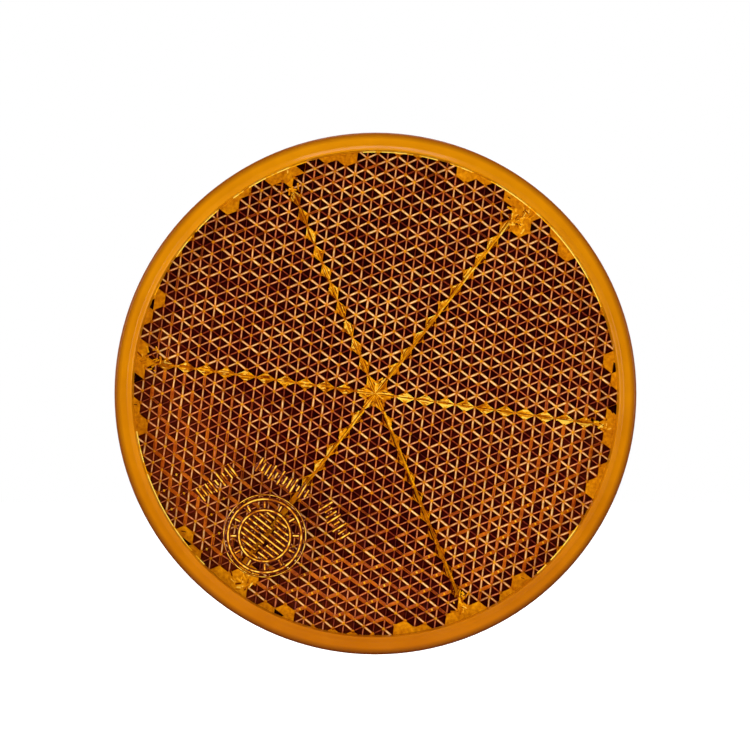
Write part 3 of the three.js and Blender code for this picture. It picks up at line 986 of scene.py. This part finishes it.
def build_rim():
    """The band, its rounded shoulder and edge, and the skirt that is welded to the back plate."""
    rim_y = FACE_Y + RIM_DROP
    skirt_end = plate_low.y + SKIRT_OVERLAP
    shape = Shape()
    shoulder = []
    for i in range(SHOULDER_STEPS + 1):
        share = i / SHOULDER_STEPS
        drop = RIM_DROP * (1 - math.cos(math.pi * share)) / 2
        shoulder.append((FIELD_RADIUS + SHOULDER_WIDTH * share, FACE_Y + drop))
    edge = arc((BODY_RADIUS - EDGE_ROUND, rim_y + EDGE_ROUND), (EDGE_ROUND, EDGE_ROUND), -90, 0, 8)
    foot = arc((BODY_RADIUS - FOOT_ROUND, skirt_end - FOOT_ROUND), (FOOT_ROUND, FOOT_ROUND), 0, 90, 3)
    wall = [(FIELD_RADIUS, skirt_end), (FIELD_RADIUS - WALL_SLOPE, RELIEF_Y)]
    shape.turned([*shoulder, *edge, *foot, *wall])
    add_piece("lens_rim", shape, amber_band(), "lens", "amber_lens", smooth=50, outwards=True)


def build_window():
    """The clear sheet in front of the prisms, whose side is out of sight in the band."""
    back_radius = FIELD_RADIUS + 0.1 * MM
    shape = Shape()
    shape.turned([(FIELD_RADIUS, FACE_Y), (back_radius, FACE_Y + SHEET_THICKNESS)], closed=False)
    add_piece("lens_window", shape, clear_sheet(), "lens", "amber_lens", outwards=True)


def raised_bar(shape, x, z, length, angle, width=MARK_WIDTH):
    """A roof-shaped bar on the lens face, with a line of painted shade round its foot."""
    reach = heading(angle) * length / 2
    middle = Vector((x, FACE_Y, z))
    shape.ridge(middle - reach, middle + reach, width, 0.5, lift=MARK_RAISE)
    # A wider, lower bar in its darkest tone, as painted shade round the foot
    shape.ridge(middle - reach, middle + reach, 1.6 * width, 0.5, glow=(0.0, 0.0), lift=MARK_RAISE / 4)


def raised_ring(shape, x, z, radius, width=MARK_WIDTH):
    steps = 48
    length = 2 * math.pi * radius / steps
    for i in range(steps):
        turn = 2 * math.pi * i / steps
        raised_bar(shape, *around(x, z, radius, turn), length, turn + math.pi / 2, width)


def build_marks():
    """Plain moulding marks: a hatched dial with rings and ticks, and rows of bars."""
    shape = Shape()
    x, z, radius = DIAL["x"], DIAL["z"], DIAL["radius"]
    for share, width in ((1.12, MARK_WIDTH / 2), (1.0, MARK_WIDTH), (0.7, MARK_WIDTH)):
        raised_ring(shape, x, z, share * radius, width)
    for i in range(DIAL["ticks"]):
        turn = 2 * math.pi * i / DIAL["ticks"]
        raised_bar(shape, *around(x, z, 0.85 * radius, turn), 0.16 * radius, turn)
    hatch = math.radians(DIAL["hatch"])
    inside = 0.64 * radius
    across = 0.04 * radius - inside
    while across < inside - 0.02 * radius:
        half = math.sqrt(inside ** 2 - across ** 2)
        split = chance.uniform(-0.5, 0.5) * half
        for start, end in ((-half, split - HATCH_GAP / 2), (split + HATCH_GAP / 2, half)):
            along = (start + end) / 2
            place_x = x + along * math.cos(hatch) - across * math.sin(hatch)
            place_z = z + along * math.sin(hatch) + across * math.cos(hatch)
            raised_bar(shape, place_x, place_z, end - start, hatch)
        across += HATCH_SPACING
    for row in BAR_ROWS:
        turn = math.radians(row["turn"])
        for i in range(row["bars"]):
            along = (i - (row["bars"] - 1) / 2) * BAR_SPACING
            place = around(row["x"], row["z"], along, turn)
            raised_bar(shape, *place, BAR_LENGTHS[i % len(BAR_LENGTHS)], turn + math.pi / 2)
    add_piece("face_marks", shape, moulded_marks(), "lens", "amber_lens")


# -------- back plate and fastening


def rounded(corners, radius=0.15 * MM, steps=2):
    """A closed profile of (radius, y) corners with every corner rounded a little."""
    points = []
    count = len(corners)
    for i, corner in enumerate(corners):
        here = Vector(corner)
        before = Vector(corners[i - 1]) - here
        after = Vector(corners[(i + 1) % count]) - here
        cut = min(radius, before.length / 2.5, after.length / 2.5)
        start = here + before.normalized() * cut
        end = here + after.normalized() * cut
        for step in range(steps + 1):
            t = step / steps
            points.append(tuple((1 - t) ** 2 * start + 2 * t * (1 - t) * here + t ** 2 * end))
    return points


def build_housing(material):
    """The back plate, with its hub, its seam step and the round marks that ejector pins leave."""
    rear = gasket_low.y - 0.05 * MM
    inner = rear - 1.6 * MM
    hub, spigot = 9 * MM, FIELD_RADIUS - 0.2 * MM
    spigot_wall, spigot_height = 1.3 * MM, 1.8 * MM
    step, step_width = 0.35 * MM, 1.5 * MM
    shape = Shape()
    shape.turned(rounded([
        (STUD_HOLE, plate_low.y),
        (hub, plate_low.y),
        (hub, inner),
        (spigot - spigot_wall, inner),
        (spigot - spigot_wall, inner - spigot_height),
        (spigot, inner - spigot_height),
        (spigot, inner),
        (BODY_RADIUS, inner),
        (BODY_RADIUS, rear - step),
        (BODY_RADIUS - step_width, rear - step),
        (BODY_RADIUS - step_width, rear),
        (hub, rear),
        (hub, plate_high.y),
        (STUD_HOLE, plate_high.y),
    ]))
    pins, pin_circle, pin_radius = 6, 24 * MM, 1.3 * MM
    for i in range(pins):
        centre = around(0, 0, pin_circle, 2 * math.pi * (i + 0.5) / pins)
        shape.turned([
            (pin_radius, rear),
            (pin_radius + 0.08 * MM, rear + 0.04 * MM),
            (pin_radius + 0.2 * MM, rear),
            (pin_radius + 0.2 * MM, rear - 0.1 * MM),
            (pin_radius, rear - 0.1 * MM),
        ], 40, centre=centre)
    add_piece("back_shell", shape, material, "back_plate", "amber_housing", smooth=40, outwards=True)


def thread_ring(y, crest, root, limit=math.inf):
    """A ring of a right-hand V thread about the Y axis, flat on its crest and in its root, and no
    wider than limit."""
    ring = []
    for i in range(SMALL_SEGMENTS):
        turn = 2 * math.pi * i / SMALL_SEGMENTS
        phase = (y / THREAD_PITCH + i / SMALL_SEGMENTS) % 1.0
        share = min(1.0, max(0.0, (abs(phase - 0.5) * 2 - THREAD_CREST) / THREAD_FLANKS))
        radius = min(crest + (root - crest) * share, limit)
        ring.append(Vector((radius * math.cos(turn), y, radius * math.sin(turn))))
    return ring


def hexagon_ring(y, slope=0.0):
    """A ring of the hexagon, with a flat towards +X. A slope bends its corners along Y, as a chamfer
    leaves them."""
    ring = []
    for i in range(SMALL_SEGMENTS):
        turn = 2 * math.pi * i / SMALL_SEGMENTS
        from_flat = (turn + math.pi / 6) % (math.pi / 3) - math.pi / 6
        radius = FLATS / 2 / math.cos(from_flat)
        bend = (radius - CHAMFER_RADIUS) * slope
        ring.append(Vector((radius * math.cos(turn), y + bend, radius * math.sin(turn))))
    return ring


def build_stud(material):
    """The stud: its hexagon head sits in the plate, and its thread is cut to the end."""
    crest, root = 2.5 * MM, 2.09 * MM
    end_radius = crest - 0.6 * MM
    neck = plate_high.y
    rows = round((stud_high.y - neck) / THREAD_PITCH * 12)
    rings = [circle(crest, y, SMALL_SEGMENTS) for y in (stud_low.y + 0.5 * MM, neck)]
    for row in range(1, rows + 1):
        y = neck + (stud_high.y - neck) * row / rows
        rings.append(thread_ring(y, crest, root, limit=end_radius + (stud_high.y - y)))
    shape = Shape()
    shape.loft(rings, closed=False)
    face = circle(CHAMFER_RADIUS, stud_low.y, SMALL_SEGMENTS)
    seat = hexagon_ring(stud_low.y + HEAD_HEIGHT)
    shape.loft([face, hexagon_ring(stud_low.y, CHAMFER_SLOPE), seat], closed=False)
    add_piece("stud", shape, material, "stud_bolt", "zinc_steel", smooth=35, outwards=True)


def build_nut(material):
    """The nut: a chamfered hexagon on a collar, threaded through, with a swaged lip under it."""
    crest, root, mouth = 2.6 * MM, 2.95 * MM, 0.45 * MM
    collar, lip = 3.65 * MM, 4.3 * MM
    low, high = nut_low.y, nut_high.y
    seat = high - NUT_HEIGHT
    outside = [(lip - 0.1 * MM, low), (lip, low + 0.08 * MM), (collar, low + 0.35 * MM), (collar, seat)]
    rings = [circle(radius, y, SMALL_SEGMENTS) for radius, y in outside]
    rings += [hexagon_ring(seat), hexagon_ring(high, -CHAMFER_SLOPE)]
    rings += [circle(radius, high, SMALL_SEGMENTS) for radius in (CHAMFER_RADIUS, root + 0.1 * MM)]
    rows = 60
    for row in range(rows + 1):
        y = high - mouth - (high - low - 2 * mouth) * row / rows
        rings.append(thread_ring(y, crest, root))
    rings.append(circle(root + 0.1 * MM, low, SMALL_SEGMENTS))
    shape = Shape()
    shape.loft(rings)
    add_piece("nut", shape, material, "hex_nut", "zinc_steel", body="nut", smooth=30, outwards=True)


def ring_section(inner, outer, low, high, rise=0.0):
    """The corners of a flat ring's section. A rise dishes the ring: its hole lies further to +Y."""
    return [(inner, low + rise), (outer, low), (outer, high - rise), (inner, high)]


def build_washers(material):
    flat = Shape()
    section = ring_section(STUD_HOLE, flat_high.x, flat_low.y, flat_high.y)
    flat.turned(rounded(section), SMALL_SEGMENTS)
    add_piece("plain_washer", flat, material, "flat_washer", "zinc_steel", smooth=40, outwards=True)
    cone = Shape()
    section = ring_section(3.95 * MM, cone_high.x, cone_low.y, cone_high.y, rise=0.45 * MM)
    cone.turned(rounded(section), SMALL_SEGMENTS)
    settings = {"body": "nut_carrier", "smooth": 40, "outwards": True}
    add_piece("cone_washer", cone, material, "captive_washer", "zinc_steel", **settings)


def build_gasket():
    """A die-cut foam ring, a little soft and uneven at its edges."""
    section = ring_section(9.3 * MM, gasket_high.x, gasket_low.y, gasket_high.y)
    shape = Shape()
    shape.turned(rounded(section, 0.3 * MM, 4))
    for point in shape.points:
        sway = 1 + 0.004 * (noise.noise(point * (1 / (3 * MM))) - 1)
        point.x *= sway
        point.z *= sway
    add_piece("foam_gasket", shape, cell_foam(), "panel_gasket", "gasket_foam", smooth=60, outwards=True)


# -------- stage

def build_camera():
    data = bpy.data.cameras.new("camera")
    data.lens = CAMERA_LENS
    data.sensor_width = CAMERA_SENSOR
    camera = bpy.data.objects.new("camera", data)
    distance = FRAME_WIDTH * CAMERA_LENS / CAMERA_SENSOR
    camera.location = (CAMERA_X, FACE_Y + RIM_DROP - distance, CAMERA_Z)
    camera.rotation_euler = (math.radians(90), 0, 0)
    bpy.context.scene.collection.objects.link(camera)
    bpy.context.scene.camera = camera


def softbox(name, place, size, power):
    """A square lamp that faces the lens."""
    data = bpy.data.lights.new(name, "AREA")
    data.size = size
    data.energy = power
    lamp = bpy.data.objects.new(name, data)
    lamp.location = place
    lamp.rotation_euler = (-Vector(place)).to_track_quat("-Z", "Y").to_euler()
    bpy.context.scene.collection.objects.link(lamp)


def build_world():
    """A white studio that is dim behind the camera, so that the flat lens mirrors little of it."""
    world = bpy.data.worlds.new("studio")
    world.use_nodes = True
    world.node_tree.nodes.clear()
    bpy.context.scene.world = world
    nodes = Nodes(world.node_tree)
    direction = nodes.node("ShaderNodeTexCoord").outputs["Generated"]
    split = nodes.node("ShaderNodeSeparateXYZ", {"Vector": direction})
    level = nodes.spread(split.outputs["Y"], -0.93, -0.7, 0.02, 0.75)
    path = nodes.node("ShaderNodeLightPath")
    dimmer = nodes.spread(path.outputs["Is Glossy Ray"], 0.0, 1.0, 1.0, 0.15)
    strength = nodes.maths("MULTIPLY", level, dimmer)
    light = nodes.node("ShaderNodeBackground", {"Color": WHITE, "Strength": strength})
    backdrop = nodes.node("ShaderNodeBackground", {"Color": WHITE})
    inputs = {0: path.outputs["Is Camera Ray"], 1: light.outputs[0], 2: backdrop.outputs[0]}
    both = nodes.node("ShaderNodeMixShader", inputs)
    nodes.node("ShaderNodeOutputWorld", {"Surface": both.outputs[0]})


def build_floor():
    level = cad_box[0].z - FLOOR_DROP
    mesh = bpy.data.meshes.new("floor")
    corners = [(-1, -1), (1, -1), (1, 1), (-1, 1)]
    points = [(FLOOR_HALF * x, FLOOR_HALF * y + FLOOR_SHIFT, level) for x, y in corners]
    mesh.from_pydata(points, [], [(0, 1, 2, 3)])
    mesh.materials.append(white_floor())
    floor = bpy.data.objects.new("floor", mesh)
    bpy.context.scene.collection.objects.link(floor)


def build_stage():
    build_camera()
    build_world()
    build_floor()
    for settings in SOFTBOXES:
        softbox(*settings)
    bpy.context.scene.view_settings.view_transform = "Standard"


# -------- the scene

build_prisms()
build_rim()
build_window()
build_marks()
build_housing(amber_abs())
zinc = zinc_plate()
build_stud(zinc)
build_washers(zinc)
build_nut(zinc)
build_gasket()
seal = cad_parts["stud_seal"]
seal.data.materials.clear()
seal.data.materials.append(black_rubber())
build_stage()
